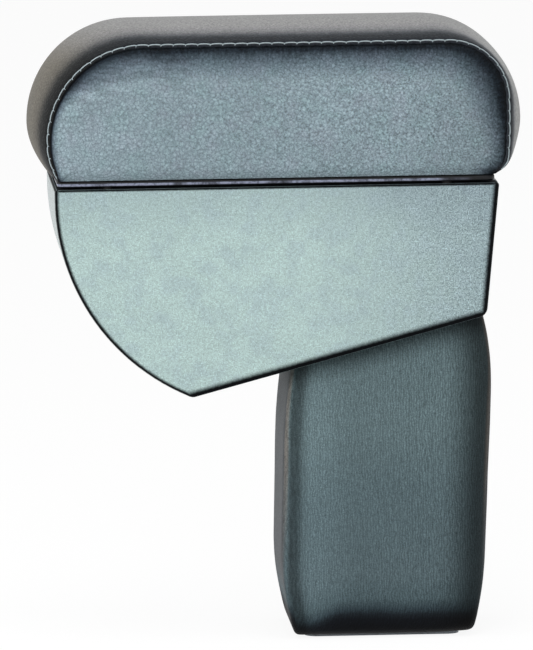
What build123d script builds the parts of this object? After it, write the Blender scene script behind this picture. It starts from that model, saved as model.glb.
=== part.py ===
# Car centre armrest: an upholstered lid hinged over a moulded storage box, on a padded leg.
# Origin at the centre of the foot's underside, +Z up, -X towards the front of the car.
# Lengths are in millimetres and angles in degrees.
from build123d import *

import os
from math import cos, degrees, radians, sin, sqrt, tan

# Storage box, one moulding
box_width = 132.0
box_wall = 3.0
rim_height = 279.1
rim_width = 10.0
front_reach = 197.5
front_radius = 132.2
front_lip = 6.0
rear_reach = 72.8
rear_height = 81.2
rear_lean = 5.9
floor_slope = 14.7
keel_radius = 5.5
heel_radius = 6.5
edge_radius = 4.0
rim_radius = 1.8
mouth_corner = 7.0

# Lid cushion, measured at its sewn seams unless said otherwise
seam_inset = 1.0
cushion_front_overhang = 4.2
cushion_rear_overhang = 6.8
cushion_height = 82.2
cushion_front_radius = 60.0
cushion_rear_radius = 36.0
cushion_front_tuck = 5.9
cushion_rear_tuck = 9.0
cushion_rear_tuck_height = 20.0
crown = 10.0
crown_front_radius = 62.0
crown_rear_radius = 62.0
crown_power = 2.4
crown_foot_share = 0.3
side_bulge = 6.0
side_bulge_width = 17.0
side_foot_share = 0.35
cover_thickness = 1.2
cover_hem = 16.0

# Lid board and the moulded pan screwed under it
lid_gap = 1.1
pan_thickness = 4.2
pan_inset = 1.5
pan_corner = 5.0
pan_edge_radius = 1.9
pan_lip_depth = 5.0
pan_lip_wall = 2.0
pan_lip_clearance = 1.5
board_thickness = 8.0
board_clearance = 1.0
board_corner = 6.0
pan_screw_pitch_x = 95.0
pan_screw_inset_y = 28.0
bumper_radius = 3.0
bumper_clearance = 0.1
bumper_end_inset = 32.0

# Butt hinge at the rear of the rim
hinge_end_inset = 16.0
hinge_knuckles = 5
knuckle_radius = 2.6
knuckle_gap = 0.3
hinge_clearance = 0.35
leaf_thickness = 1.0
leaf_depth = 18.0
pin_radius = 1.4
pin_clearance = 0.05
hinge_screws = 4
hinge_screw_row = 11.0
hinge_boss_radius = 4.0
hinge_boss_floor = 1.5

# Countersunk screws of the lid, the hinge and the foot
screw_radius = 1.5
screw_head_radius = 2.8
screw_length = 9.0
screw_clearance = 0.05
screw_recess = 0.1

# Leg, over its cover
leg_front = 61.3
leg_rear = 60.3
leg_front_lean = 1.0
leg_rear_lean = 2.7
leg_front_tuck = 7.5
leg_front_tuck_height = 40.5
leg_rear_tuck = 3.5
leg_rear_tuck_height = 26.0
leg_side_inset = 11.0
leg_corner = 9.0
leg_foot_radius = 11.0
leg_pull_height = 42.0
leg_front_pull_radius = 300.0
leg_rear_pull_radius = 141.0
leg_padding_thickness = 6.0
leg_hem = 15.0

# Leg carcass, glued up from boards and clamped to the box floor
carcass_board = 16.0
carcass_corner = 5.0
carcass_clearance = 0.5
top_block_thickness = 18.0
clamp_length = 72.0
clamp_side_inset = 3.8
clamp_thickness = 2.0
clamp_corner = 6.0
clamp_screw_inset_x = 10.0
clamp_screw_inset_y = 8.0
clamp_screw_radius = 2.4
clamp_screw_head_radius = 4.6
clamp_screw_head_height = 2.8
clamp_screw_length = 20.0

# Foot plate and the thread inserts for the bolts from below
foot_length = 94.0
foot_side_inset = 15.0
foot_thickness = 3.5
foot_corner = 8.0
foot_screw_x = 30.0
foot_screw_side_inset = 5.8
bolt_pitch_x = 56.0
bolt_side_inset = 11.8
bolt_hole_radius = 3.3
insert_bore_radius = 3.0
insert_barrel_radius = 4.0
insert_barrel_length = 10.0
insert_flange_radius = 8.0
insert_flange_thickness = 1.5

# Widths that follow from the box's width
seam_half = box_width / 2 - seam_inset
hinge_length = box_width - 2 * hinge_end_inset
hinge_screw_pitch = hinge_length / hinge_screws
pan_screw_pitch_y = box_width - 2 * pan_screw_inset_y
leg_width = box_width - 2 * leg_side_inset

# Heights that follow from the sizes above
pan_bottom = rim_height + lid_gap
cushion_bottom = pan_bottom + pan_thickness
board_bottom = cushion_bottom + cover_thickness
cover_bottom = foot_thickness
base_bottom = cover_bottom + cover_thickness
base_top = base_bottom + carcass_board

# Corners of the box's side outline
arc_x = front_radius - front_reach
arc_z = rim_height - front_lip
heel_x = rear_reach - rear_height * tan(radians(rear_lean))
heel_z = rim_height - rear_height
floor_cos = cos(radians(floor_slope))
floor_sin = sin(radians(floor_slope))
floor_half_chord = (heel_x - arc_x) * floor_cos + (heel_z - arc_z) * floor_sin
heel_power = (heel_x - arc_x) ** 2 + (heel_z - arc_z) ** 2 - front_radius**2
floor_length = floor_half_chord + sqrt(floor_half_chord**2 - heel_power)
keel_x = heel_x - floor_length * floor_cos
keel_z = heel_z - floor_length * floor_sin
mouth_length = front_reach + rear_reach - 2 * rim_width
mouth_middle = (rear_reach - front_reach) / 2


def floor_z(x):
    """Height of the box floor's underside."""
    return heel_z + (x - heel_x) * tan(radians(floor_slope))


# Ends of the lid cushion at its seams
cushion_front = front_reach + cushion_front_overhang
cushion_rear = rear_reach + cushion_rear_overhang
cushion_foot_front = cushion_front - cushion_front_tuck
cushion_foot_rear = cushion_rear - cushion_rear_tuck

# Leg carcass: a plain box inside the padding, raised to clear the cover's rounded and drawn-in foot
carcass_inset = cover_thickness + leg_padding_thickness
carcass_front = -leg_front + carcass_inset
carcass_rear = leg_rear - carcass_inset
carcass_half = leg_width / 2 - carcass_inset
foot_round_reach = max(leg_foot_radius - carcass_inset, 0)
foot_round_inner = leg_foot_radius - cover_thickness - carcass_clearance
foot_round_rise = leg_foot_radius - sqrt(foot_round_inner**2 - foot_round_reach**2)
foot_tuck_radius = (leg_front_tuck_height**2 + leg_front_tuck**2) / (2 * leg_front_tuck)
foot_tuck_room = leg_padding_thickness - carcass_clearance
foot_tuck_rise = leg_front_tuck_height - sqrt(foot_tuck_room * (2 * foot_tuck_radius - foot_tuck_room))
carcass_bottom = cover_bottom + foot_round_rise + max(foot_tuck_rise, 0)
carcass_inner_front = carcass_front + carcass_board
carcass_inner_rear = carcass_rear - carcass_board
carcass_inner_half = carcass_half - carcass_board
carcass_middle = (carcass_front + carcass_rear) / 2

# What is fixed between the carcass boards keeps its distance from them
clamp_width = 2 * (carcass_inner_half - clamp_side_inset)
clamp_screw_pitch_x = clamp_length - 2 * clamp_screw_inset_x
clamp_screw_pitch_y = clamp_width - 2 * clamp_screw_inset_y
bolt_pitch_y = 2 * (carcass_inner_half - bolt_side_inset)
foot_screw_y = carcass_inner_half - foot_screw_side_inset
foot_width = leg_width - 2 * foot_side_inset

# The two leaning faces of the box: its floor's underside over the leg, and its rear wall
floor_plane = Plane(
    origin=(carcass_middle, 0, floor_z(carcass_middle)),
    x_dir=(floor_cos, 0, floor_sin),
    z_dir=(-floor_sin, 0, floor_cos),
)
rear_plane = Plane(
    origin=(rear_reach, 0, rim_height),
    x_dir=(0, 1, 0),
    z_dir=(cos(radians(rear_lean)), 0, -sin(radians(rear_lean))),
)

# Hinge axis: the knuckles lie flush in the rear wall, just under the lid pan
hinge_z = pan_bottom - hinge_clearance - knuckle_radius
hinge_sink = knuckle_radius / cos(radians(rear_lean))
hinge_x = rear_reach + (hinge_z - rim_height) * tan(radians(rear_lean)) - hinge_sink
hinge_drop = -rear_plane.to_local_coords(Vector(hinge_x, 0, hinge_z)).Y
hinge_notch = hinge_length + 2 * hinge_clearance
knuckle_pitch = hinge_length / hinge_knuckles
knuckle_room = knuckle_radius + hinge_clearance
knuckles = [(hinge_x, (i - (hinge_knuckles - 1) / 2) * knuckle_pitch, hinge_z) for i in range(hinge_knuckles)]
box_knuckles = knuckles[0::2]
lid_knuckles = knuckles[1::2]

# Where the countersunk screws sit, each with its head outwards along its own +Z
screw_ys = [(i - (hinge_screws - 1) / 2) * hinge_screw_pitch for i in range(hinge_screws)]
rear_screws = [rear_plane.location * Pos(y, -hinge_drop - hinge_screw_row, -screw_recess) for y in screw_ys]
leaf_face = pan_bottom - leaf_thickness + screw_recess
leaf_screws = [Pos(hinge_x - hinge_screw_row, y, leaf_face) * Rot(X=180) for y in screw_ys]
pan_middle = (hinge_x - front_reach + pan_inset) / 2
pan_screws = [
    Pos(pan_middle + i * pan_screw_pitch_x, j * pan_screw_pitch_y / 2, pan_bottom + screw_recess) * Rot(X=180)
    for i in (-1, 0, 1)
    for j in (-1, 1)
]
foot_screw_points = [(foot_screw_x, 0), (-foot_screw_x, 0), (0, foot_screw_y), (0, -foot_screw_y)]
foot_screws_at = [Pos(x, y, screw_recess) * Rot(X=180) for x, y in foot_screw_points]


def countersunk_screw():
    """One screw with its head's face at the origin and its shank along -Z."""
    with BuildPart() as screw:
        with BuildSketch(Plane.XZ):
            with BuildLine():
                Polyline(
                    (0, 0),
                    (screw_head_radius, 0),
                    (screw_radius, screw_radius - screw_head_radius),
                    (screw_radius, -screw_length),
                    (0, -screw_length),
                    close=True,
                )
            make_face()
        revolve(axis=Axis.Z)
    return screw.part


def pan_head_screw():
    """One clamp screw with the underside of its head at the origin and its shank along -Z."""
    head_bevel = clamp_screw_head_height / 2
    with BuildPart() as screw:
        with BuildSketch(Plane.XZ):
            with BuildLine():
                Polyline(
                    (0, -clamp_screw_length),
                    (clamp_screw_radius, -clamp_screw_length),
                    (clamp_screw_radius, 0),
                    (clamp_screw_head_radius, 0),
                    (clamp_screw_head_radius, head_bevel),
                    (clamp_screw_head_radius - head_bevel, clamp_screw_head_height),
                    (0, clamp_screw_head_height),
                    close=True,
                )
            make_face()
        revolve(axis=Axis.Z)
    return screw.part


def screw_holes(places):
    """Countersunk holes for the screws at these places, cut from the current part."""
    with Locations(*places):
        CounterSinkHole(
            screw_radius + screw_clearance,
            screw_head_radius + screw_clearance,
            screw_length + screw_clearance,
            90,
        )


def cushion_section(y, swell, inset, bottom):
    """Side outline of the cushion at this y: the seam's, swollen by this share of the crown, then drawn in."""
    grow = swell * crown - inset
    foot_front = -cushion_foot_front - crown_foot_share * grow
    foot_rear = cushion_foot_rear + crown_foot_share * grow
    front = -cushion_front - grow
    rear = cushion_rear + grow
    top = cushion_bottom + cushion_height + grow
    front_round = cushion_front_radius + swell * (crown_front_radius - cushion_front_radius) - inset
    rear_round = cushion_rear_radius + swell * (crown_rear_radius - cushion_rear_radius) - inset
    front_shoulder = (front, top - front_round)
    rear_shoulder = (rear, top - rear_round)
    rear_tuck = (rear, cushion_bottom + cushion_rear_tuck_height)
    with BuildSketch(Plane.XZ.offset(-y)) as section:
        with BuildLine():
            Line((foot_rear, bottom), (foot_front, bottom))
            TangentArc(front_shoulder, (foot_front, bottom), tangent=(0, -1))
            TangentArc(front_shoulder, (front + front_round, top), tangent=(0, 1))
            Line((front + front_round, top), (rear - rear_round, top))
            TangentArc(rear_shoulder, (rear - rear_round, top), tangent=(0, 1))
            Line(rear_shoulder, rear_tuck)
            TangentArc(rear_tuck, (foot_rear, bottom), tangent=(0, -1))
        make_face()
    return section.sketch


def strip_solid(skin):
    """The cushion between its two seams, crowned across its width, under a skin of this thickness."""
    sections = []
    for share in (-1, -0.85, -0.5, 0, 0.5, 0.85, 1):
        swell = 1 - abs(share) ** crown_power
        sections.append(cushion_section(share * seam_half, swell, skin, cushion_bottom + skin))
    with BuildPart() as strip:
        loft(sections)
    return strip.part


def side_solid(skin):
    """The cushion's swelling outside its near seam, under a skin of this thickness."""
    sections = []
    for angle in (30, 60, 90):
        rise = (sin(radians(angle)) - sin(radians(30))) / (1 - sin(radians(30)))
        draw = (cos(radians(30)) - cos(radians(angle))) / cos(radians(30))
        inset = side_bulge_width * draw
        y = -seam_half - (side_bulge - skin) * rise
        sections.append(cushion_section(y, 0, inset + skin, cushion_bottom + skin + side_foot_share * inset))
    with BuildPart() as side:
        loft(sections)
    return side.part


def leg_solid(skin):
    """The padded leg, drawn in at its foot and under the box floor, under a skin of this thickness."""
    rear_slope = tan(radians(leg_rear_lean))
    rear_run = floor_z(leg_rear) - leg_pull_height - cover_bottom
    rear_break = (leg_rear + rear_run * rear_slope, cover_bottom + rear_run)
    rear_tuck = (leg_rear + leg_rear_tuck_height * rear_slope, cover_bottom + leg_rear_tuck_height)
    rear_foot = (leg_rear - leg_rear_tuck, cover_bottom)
    front_slope = tan(radians(leg_front_lean))
    front_run = floor_z(-leg_front) - leg_pull_height - cover_bottom - leg_front_tuck_height
    front_tuck = (-leg_front, cover_bottom + leg_front_tuck_height)
    front_break = (front_run * front_slope - leg_front, front_tuck[1] + front_run)
    front_foot = (leg_front_tuck - leg_front, cover_bottom)
    pull_run = leg_pull_height + 2 * carcass_inset
    with BuildPart() as leg:
        with BuildSketch(Plane.XZ):
            with BuildLine():
                Line(front_foot, rear_foot)
                TangentArc(rear_tuck, rear_foot, tangent=(-rear_slope, -1))
                rear_line = Line(rear_tuck, rear_break)
                rear_turn = degrees(pull_run / leg_rear_pull_radius)
                rear_pull = JernArc(rear_break, rear_line % 1, leg_rear_pull_radius, rear_turn)
                front_line = Line(front_tuck, front_break)
                front_turn = degrees(pull_run / leg_front_pull_radius)
                front_pull = JernArc(front_break, front_line % 1, leg_front_pull_radius, -front_turn)
                Line(rear_pull @ 1, front_pull @ 1)
                TangentArc(front_tuck, front_foot, tangent=(-front_slope, -1))
            make_face()
            if skin:
                offset(amount=-skin, kind=Kind.INTERSECTION, mode=Mode.REPLACE)
        extrude(amount=leg_width / 2 - skin, both=True)
        foot_edges = leg.faces().sort_by(Axis.Z)[0].edges()
        fillet(foot_edges.filter_by(Axis.X), leg_foot_radius - skin)
        foot_ends = leg.faces().sort_by(Axis.Z)[0].edges().filter_by(Axis.Y)
        end_edges = leg.edges().filter_by(lambda edge: not -leg_front / 2 < edge.center().X < leg_rear / 2)
        corners = end_edges.filter_by(lambda edge: abs(edge.center().Y) > leg_width / 4)
        fillet(corners + foot_ends, leg_corner - skin)
        split(bisect_by=floor_plane, keep=Keep.BOTTOM)
    return leg.part


def carcass_box(front, rear, near, far, bottom):
    """An upright block of the leg carcass, cut to the slope of the box floor."""
    with BuildPart() as block:
        with BuildSketch(Plane.XZ.offset(-far)):
            with BuildLine():
                Polyline(
                    (front, bottom),
                    (rear, bottom),
                    (rear, floor_z(rear)),
                    (front, floor_z(front)),
                    close=True,
                )
            make_face()
        extrude(amount=far - near)
    return block.part


screw = countersunk_screw()
clamp_screw = pan_head_screw()
strip_outer = strip_solid(0)
strip_inner = strip_solid(cover_thickness)
side_outer = side_solid(0)
side_inner = side_solid(cover_thickness)
leg_outer = leg_solid(0)
leg_inner = leg_solid(cover_thickness)

# The storage box: rounded outline, cavity, mouth, and the seats of the hinge and the leg
with BuildSketch(Plane.XZ) as box_profile:
    with BuildLine():
        Line((-front_reach, rim_height), (-front_reach, arc_z))
        TangentArc((-front_reach, arc_z), (keel_x, keel_z), tangent=(0, -1))
        Polyline((keel_x, keel_z), (heel_x, heel_z), (rear_reach, rim_height), (-front_reach, rim_height))
    make_face()
    fillet(box_profile.vertices().sort_by(Axis.Y)[1], heel_radius)
    fillet(box_profile.vertices().sort_by(Axis.Y)[0], keel_radius)

with BuildSketch(Plane.XZ) as cavity_profile:
    add(box_profile.sketch_local)
    offset(amount=-box_wall, mode=Mode.REPLACE)

with BuildPart() as box_shell:
    extrude(box_profile.sketch, amount=box_width / 2, both=True)
    side_edges = box_shell.faces().filter_by(Axis.Y).edges()
    fillet(side_edges.filter_by(lambda edge: edge.center().Z < rim_height - rim_radius), edge_radius)
    fillet(box_shell.faces().sort_by(Axis.Z)[-1].edges(), rim_radius)
    extrude(cavity_profile.sketch, amount=box_width / 2 - box_wall, both=True, mode=Mode.SUBTRACT)
    with BuildSketch(Plane.XY.offset(rim_height)):
        with Locations((mouth_middle, 0)):
            RectangleRounded(mouth_length, box_width - 2 * rim_width, mouth_corner)
    extrude(amount=-2 * box_wall, mode=Mode.SUBTRACT)
    with BuildSketch(rear_plane.offset(-screw_length - hinge_boss_floor)):
        with Locations(*[(y, -hinge_drop - hinge_screw_row) for y in screw_ys]):
            Circle(hinge_boss_radius)
    extrude(amount=screw_length + hinge_boss_floor - box_wall / 2)
    with BuildSketch(rear_plane):
        with Locations((0, -hinge_drop - leaf_depth - hinge_clearance)):
            Rectangle(hinge_notch, leaf_depth + 2 * knuckle_room, align=(Align.CENTER, Align.MIN))
    extrude(amount=-leaf_thickness, mode=Mode.SUBTRACT)
    with BuildSketch(Plane.XZ.offset(-hinge_notch / 2)):
        with Locations((rear_reach - rim_width - mouth_corner, hinge_z - knuckle_room)):
            Rectangle(2 * rim_width, 2 * rim_width, align=(Align.MIN, Align.MIN))
    extrude(amount=hinge_notch, mode=Mode.SUBTRACT)
    screw_holes(rear_screws)
    with Locations(floor_plane.offset(box_wall)):
        with GridLocations(clamp_screw_pitch_x, clamp_screw_pitch_y, 2, 2):
            Hole(clamp_screw_radius + screw_clearance, 2 * box_wall)

with BuildPart() as lid_bumpers:
    with BuildSketch(Plane.XY.offset(rim_height)):
        with Locations((mouth_middle, 0)):
            bumper_pitch_x = front_reach + rear_reach - 2 * bumper_end_inset
            with GridLocations(bumper_pitch_x, box_width - rim_width - rim_radius, 2, 2):
                Circle(bumper_radius)
    extrude(amount=lid_gap - bumper_clearance)

# Hinge: one leaf let into the rear wall, the other under the lid pan, and the pin
with BuildPart() as hinge_box_leaf:
    with BuildSketch(rear_plane):
        with Locations((0, -hinge_drop)):
            Rectangle(hinge_length, leaf_depth, align=(Align.CENTER, Align.MAX))
    extrude(amount=-leaf_thickness)
    with Locations(*lid_knuckles):
        Cylinder(knuckle_room, knuckle_pitch + knuckle_gap, rotation=(90, 0, 0), mode=Mode.SUBTRACT)
    with Locations(*box_knuckles):
        Cylinder(knuckle_radius, knuckle_pitch - knuckle_gap, rotation=(90, 0, 0))
    with Locations((hinge_x, 0, hinge_z)):
        Cylinder(pin_radius + pin_clearance, hinge_length, rotation=(90, 0, 0), mode=Mode.SUBTRACT)
    screw_holes(rear_screws)

with BuildPart() as hinge_lid_leaf:
    with BuildSketch(Plane.XY.offset(pan_bottom)):
        with Locations((hinge_x, 0)):
            Rectangle(leaf_depth, hinge_length, align=(Align.MAX, Align.CENTER))
    extrude(amount=-leaf_thickness)
    with Locations(*box_knuckles):
        Cylinder(knuckle_room, knuckle_pitch + knuckle_gap, rotation=(90, 0, 0), mode=Mode.SUBTRACT)
    with Locations(*lid_knuckles):
        Cylinder(knuckle_radius, knuckle_pitch - knuckle_gap, rotation=(90, 0, 0))
    with Locations((hinge_x, 0, hinge_z)):
        Cylinder(pin_radius + pin_clearance, hinge_length, rotation=(90, 0, 0), mode=Mode.SUBTRACT)
    screw_holes(leaf_screws)

with BuildPart() as hinge_pin:
    with Locations((hinge_x, 0, hinge_z)):
        Cylinder(pin_radius, hinge_length, rotation=(90, 0, 0))

with BuildPart() as hinge_box_screws:
    with Locations(*rear_screws):
        add(screw)

with BuildPart() as hinge_lid_screws:
    with Locations(*leaf_screws):
        add(screw)

# Lid: pan, board, foam, and the cover sewn from a long strip and two side panels
with BuildPart() as lid_pan:
    with BuildSketch(Plane.XY.offset(pan_bottom)):
        with Locations((pan_middle, 0)):
            RectangleRounded(hinge_x + front_reach - pan_inset, box_width - 2 * pan_inset, pan_corner)
    extrude(amount=pan_thickness)
    fillet(lid_pan.faces().filter_by(Axis.Z).edges(), pan_edge_radius)
    lip_front = -front_reach + rim_width + pan_lip_clearance
    lip_rear = hinge_x - leaf_depth - pan_lip_clearance
    lip_width = box_width - 2 * rim_width - 2 * pan_lip_clearance
    with BuildSketch(Plane.XY.offset(pan_bottom)):
        with Locations(((lip_front + lip_rear) / 2, 0)):
            RectangleRounded(lip_rear - lip_front, lip_width, mouth_corner)
            RectangleRounded(
                lip_rear - lip_front - 2 * pan_lip_wall,
                lip_width - 2 * pan_lip_wall,
                mouth_corner - pan_lip_wall,
                mode=Mode.SUBTRACT,
            )
    extrude(amount=-pan_lip_depth)
    screw_holes(pan_screws + leaf_screws)

with BuildPart() as lid_pan_screws:
    with Locations(*pan_screws):
        add(screw)

board_front = -cushion_foot_front + cover_thickness + board_clearance
board_rear = cushion_foot_rear - cover_thickness - board_clearance
board_width = 2 * (seam_half - board_clearance)

with BuildPart() as lid_board:
    with BuildSketch(Plane.XY.offset(board_bottom)):
        with Locations(((board_front + board_rear) / 2, 0)):
            RectangleRounded(board_rear - board_front, board_width, board_corner)
    extrude(amount=board_thickness)
    screw_holes(pan_screws + leaf_screws)

with BuildPart() as lid_foam:
    add(strip_inner)
    add(side_inner)
    mirror(side_inner, about=Plane.XZ)
    with BuildSketch(Plane.XY.offset(board_bottom)):
        with Locations(((board_front + board_rear) / 2, 0)):
            RectangleRounded(board_rear - board_front, board_width, board_corner)
    extrude(amount=board_thickness, mode=Mode.SUBTRACT)

with BuildPart() as lid_cover_top:
    add(strip_outer)
    add(strip_inner, mode=Mode.SUBTRACT)
    with BuildSketch(Plane.XY.offset(cushion_bottom)):
        with Locations(((cushion_foot_rear - cushion_foot_front) / 2, 0)):
            Rectangle(cushion_foot_front + cushion_foot_rear - 2 * cover_hem, 2 * (seam_half - cover_hem))
    extrude(amount=cover_thickness, mode=Mode.SUBTRACT)
    screw_holes(leaf_screws)

with BuildPart() as lid_cover_near:
    add(side_outer)
    add(side_inner, mode=Mode.SUBTRACT)

with BuildPart() as lid_cover_far:
    mirror(lid_cover_near.part, about=Plane.XZ)

# Leg: carcass of boards, padding and cover
with BuildPart() as leg_front_board:
    add(carcass_box(carcass_front, carcass_inner_front, -carcass_half, carcass_half, carcass_bottom))
    fillet(leg_front_board.edges().filter_by(Axis.Z).group_by(Axis.X)[0], carcass_corner)

with BuildPart() as leg_rear_board:
    add(carcass_box(carcass_inner_rear, carcass_rear, -carcass_half, carcass_half, carcass_bottom))
    fillet(leg_rear_board.edges().filter_by(Axis.Z).group_by(Axis.X)[-1], carcass_corner)

with BuildPart() as leg_near_board:
    add(carcass_box(carcass_inner_front, carcass_inner_rear, -carcass_half, -carcass_inner_half, carcass_bottom))

with BuildPart() as leg_far_board:
    mirror(leg_near_board.part, about=Plane.XZ)

with BuildPart() as leg_top_block:
    block_drop = top_block_thickness / floor_cos
    with BuildSketch(Plane.XZ):
        with BuildLine():
            Polyline(
                (carcass_inner_front, floor_z(carcass_inner_front) - block_drop),
                (carcass_inner_rear, floor_z(carcass_inner_rear) - block_drop),
                (carcass_inner_rear, floor_z(carcass_inner_rear)),
                (carcass_inner_front, floor_z(carcass_inner_front)),
                close=True,
            )
        make_face()
    extrude(amount=carcass_inner_half, both=True)
    with Locations(floor_plane):
        with GridLocations(clamp_screw_pitch_x, clamp_screw_pitch_y, 2, 2):
            Hole(clamp_screw_radius + screw_clearance, top_block_thickness)

with BuildPart() as leg_base_board:
    with BuildSketch(Plane.XY.offset(base_bottom)):
        with Locations((carcass_middle, 0)):
            Rectangle(carcass_inner_rear - carcass_inner_front, 2 * carcass_inner_half)
    extrude(amount=carcass_board)
    with Locations(Plane.XY.offset(base_top)):
        with GridLocations(bolt_pitch_x, bolt_pitch_y, 2, 2):
            CounterBoreHole(bolt_hole_radius, insert_barrel_radius + screw_clearance, insert_barrel_length)
    screw_holes(foot_screws_at)

with BuildPart() as leg_inserts:
    with BuildSketch(Plane.XY.offset(base_top)):
        with GridLocations(bolt_pitch_x, bolt_pitch_y, 2, 2):
            Circle(insert_flange_radius)
    extrude(amount=insert_flange_thickness)
    with BuildSketch(Plane.XY.offset(base_top)):
        with GridLocations(bolt_pitch_x, bolt_pitch_y, 2, 2):
            Circle(insert_barrel_radius)
    extrude(amount=-insert_barrel_length)
    with Locations(Plane.XY.offset(base_top + insert_flange_thickness)):
        with GridLocations(bolt_pitch_x, bolt_pitch_y, 2, 2):
            Hole(insert_bore_radius, insert_barrel_length + 2 * insert_flange_thickness)

with BuildPart() as leg_clamp_plate:
    with BuildSketch(floor_plane.offset(box_wall)):
        RectangleRounded(clamp_length, clamp_width, clamp_corner)
        with GridLocations(clamp_screw_pitch_x, clamp_screw_pitch_y, 2, 2):
            Circle(clamp_screw_radius + screw_clearance, mode=Mode.SUBTRACT)
    extrude(amount=clamp_thickness)

with BuildPart() as leg_clamp_screws:
    with Locations(floor_plane.offset(box_wall + clamp_thickness)):
        with GridLocations(clamp_screw_pitch_x, clamp_screw_pitch_y, 2, 2):
            add(clamp_screw)

with BuildPart() as leg_padding:
    add(leg_inner)
    add(leg_front_board.part, mode=Mode.SUBTRACT)
    add(leg_rear_board.part, mode=Mode.SUBTRACT)
    add(
        carcass_box(carcass_inner_front, carcass_inner_rear, -carcass_half, carcass_half, carcass_bottom),
        mode=Mode.SUBTRACT,
    )
    add(
        carcass_box(carcass_inner_front, carcass_inner_rear, -carcass_inner_half, carcass_inner_half, base_bottom),
        mode=Mode.SUBTRACT,
    )

with BuildPart() as leg_cover:
    add(leg_outer)
    add(leg_inner, mode=Mode.SUBTRACT)
    hem_inset = leg_foot_radius + leg_hem
    with BuildSketch(Plane.XY.offset(cover_bottom)):
        with Locations(((leg_rear - leg_front) / 2, 0)):
            Rectangle(leg_front + leg_rear - 2 * hem_inset, leg_width - 2 * hem_inset)
    extrude(amount=cover_thickness, mode=Mode.SUBTRACT)
    screw_holes(foot_screws_at)

with BuildPart() as foot_plate:
    with BuildSketch():
        RectangleRounded(foot_length, foot_width, foot_corner)
        with GridLocations(bolt_pitch_x, bolt_pitch_y, 2, 2):
            Circle(bolt_hole_radius, mode=Mode.SUBTRACT)
    extrude(amount=foot_thickness)
    screw_holes(foot_screws_at)

with BuildPart() as foot_screws:
    with Locations(*foot_screws_at):
        add(screw)

pieces = {
    "box_shell": box_shell,
    "lid_bumpers": lid_bumpers,
    "hinge_box_leaf": hinge_box_leaf,
    "hinge_lid_leaf": hinge_lid_leaf,
    "hinge_pin": hinge_pin,
    "hinge_box_screws": hinge_box_screws,
    "hinge_lid_screws": hinge_lid_screws,
    "lid_pan": lid_pan,
    "lid_pan_screws": lid_pan_screws,
    "lid_board": lid_board,
    "lid_foam": lid_foam,
    "lid_cover_top": lid_cover_top,
    "lid_cover_near": lid_cover_near,
    "lid_cover_far": lid_cover_far,
    "leg_front_board": leg_front_board,
    "leg_rear_board": leg_rear_board,
    "leg_near_board": leg_near_board,
    "leg_far_board": leg_far_board,
    "leg_top_block": leg_top_block,
    "leg_base_board": leg_base_board,
    "leg_inserts": leg_inserts,
    "leg_clamp_plate": leg_clamp_plate,
    "leg_clamp_screws": leg_clamp_screws,
    "leg_padding": leg_padding,
    "leg_cover": leg_cover,
    "foot_plate": foot_plate,
    "foot_screws": foot_screws,
}
os.makedirs("parts", exist_ok=True)
for name, piece in pieces.items():
    piece.part.label = name
    export_step(piece.part, f"parts/{name}.step")
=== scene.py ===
from math import cos, exp, hypot, pi, radians, sin, sqrt, tan, tau

import bpy
from mathutils import Matrix, Vector


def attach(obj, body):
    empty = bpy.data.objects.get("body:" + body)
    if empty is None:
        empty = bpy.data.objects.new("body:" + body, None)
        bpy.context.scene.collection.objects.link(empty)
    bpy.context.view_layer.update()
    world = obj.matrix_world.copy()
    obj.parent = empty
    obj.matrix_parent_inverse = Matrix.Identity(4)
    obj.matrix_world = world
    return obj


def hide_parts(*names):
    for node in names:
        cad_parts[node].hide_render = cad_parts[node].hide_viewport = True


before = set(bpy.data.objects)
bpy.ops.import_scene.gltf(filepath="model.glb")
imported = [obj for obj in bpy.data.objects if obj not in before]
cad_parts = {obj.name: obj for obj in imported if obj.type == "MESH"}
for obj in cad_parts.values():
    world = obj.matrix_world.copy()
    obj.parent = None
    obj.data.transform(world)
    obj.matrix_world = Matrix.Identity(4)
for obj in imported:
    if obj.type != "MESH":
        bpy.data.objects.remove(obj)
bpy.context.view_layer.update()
scene = bpy.context.scene

MM = 0.001
# Lengths below this count as none, and edges flatter than this angle are shaded smooth
TOUCH = 0.01
SMOOTH_ANGLE = 40

# Lid cushion: its two sewn seams, and the crown of the strip between them
SEAM_HALF = 65
SEAM_FRONT = -201.7
SEAM_REAR = 79.6
SEAM_TOP = 366.6
CUSHION_FOOT = 284.4
FRONT_ROUND = 60
REAR_ROUND = 36
FRONT_TUCK = 5.9
REAR_TUCK = 9
REAR_TUCK_HEIGHT = 29
FOOT_SHARE = 0.3
CROWN = 10
CROWN_POWER = 2.4
CROWN_ROUND = 62
# Part of the rear tuck is slow, the more so on the crown, and the rest is sudden
TUCK_SLOW_SHARE = 0.15
TUCK_SLOW_GAIN = 0.47
TUCK_SLOW_POWER = 1.6
TUCK_SUDDEN_POWER = 8
# The side panels leave the seam at an angle, bulge, and then crown slightly
SIDE_BULGE = 6
SIDE_BULGE_WIDTH = 17
SIDE_BULGE_ANGLE = 30
SIDE_CROWN_SHARE = 0.1
SIDE_CROWN_WIDTH = 40
SIDE_FOOT_SHARE = 0.35
SIDE_FOOT_PACE = 0.8
COVER = 1.2
# The foam lies inside the cover, and rests on the board where its normals are upright
FOAM_INSET = 2.6
BOARD_TOP = 293.6
UPRIGHT_NORMAL = 0.7

# Quads along the outline: front tuck, front round, top, rear round, rear straight, rear tuck
OUTLINE_STEPS = (8, 17, 42, 15, 3, 12)
# Distances of the cover's rows from a seam, over the top strip and inwards over a side panel
STRIP_ROWS = (0, 1.6, 4.5, 9, 15, 22, 31, 42, 53.5, 65)
PANEL_ROWS = (0, 1.6, 4.5, 9, 15)
PANEL_FILL_ROWS = 8
HEM_QUADS = 5

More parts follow.
